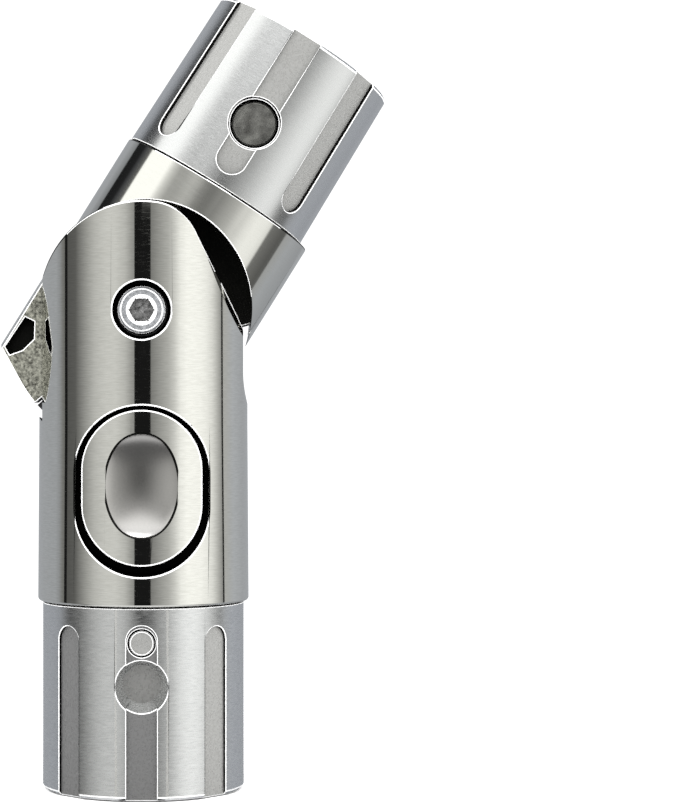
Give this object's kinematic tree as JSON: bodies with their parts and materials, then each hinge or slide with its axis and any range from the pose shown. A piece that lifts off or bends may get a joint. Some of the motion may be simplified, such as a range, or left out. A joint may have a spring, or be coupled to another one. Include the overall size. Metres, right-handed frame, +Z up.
{
  "type": "umbrella swivel bracket",
  "caption": "Tilting joint for an umbrella pole: a slotted metal housing with a push button and fluted spigot, hinged to a collar with a matching spigot.",
  "frame": {"origin": "centre of the lower spigot's end face, where the stiffening ribs cross", "axes": "+Z up along the lower pole, +X the side the head tilts to, -Y the front with the push button"},
  "size_m": [0.0699, 0.0384, 0.1435],
  "materials": {
    "polished_casting": "polished and plated",
    "satin_casting": "satin, as cast, with fine turning lines",
    "bright_steel": "bright zinc plate",
    "spring_steel": "blackened",
    "bronze": "sintered, oiled"
  },
  "bodies": {
    "base": {"lower_housing": "polished_casting", "lower_spigot": "satin_casting", "spigot_pin": "bright_steel", "spring_seat": "bronze", "pivot_screw": "bright_steel", "lock_washer": "spring_steel", "barrel_nut": "bright_steel", "front_thrust_washer": "bronze", "rear_thrust_washer": "bronze", "pawl_guide": "bronze", "pawl_spring": "bright_steel", "button_spring_lower": "bright_steel", "button_spring_upper": "bright_steel"},
    "head": {"upper_knuckle": "polished_casting", "upper_spigot": "satin_casting", "spigot_screw": "bright_steel", "cross_hole_plug": "bright_steel", "pivot_bush": "bronze", "lock_sector": "spring_steel", "sector_rivet_left": "bright_steel", "sector_rivet_right": "bright_steel"},
    "button": {"push_button": "polished_casting", "button_cam": "spring_steel", "cam_screw": "bright_steel"},
    "pawl": {"lock_pawl": "spring_steel", "pawl_cross_pin": "bright_steel"}
  },
  "joints": [
    {"name": "tilt", "type": "hinge", "parent": "base", "child": "head", "pos_m": [0, 0, 0.0863], "axis": [0, 1, 0], "range_deg": [-32, 0]},
    {"name": "button_press", "type": "slide", "parent": "base", "child": "button", "axis": [0, 1, 0], "range_m": [0, 0.003], "stiffness_N_per_m": 800, "springref_m": -0.003, "deforming": ["button_spring_lower", "button_spring_upper"]},
    {"name": "pawl_drop", "type": "slide", "parent": "base", "child": "pawl", "axis": [0, 0, -1], "range_m": [0, 0.003], "stiffness_N_per_m": 400, "springref_m": -0.003, "deforming": ["pawl_spring"]}
  ],
  "couplings": [
    {"joint": "pawl_drop", "follows": "button_press", "ratio": 1}
  ]
}
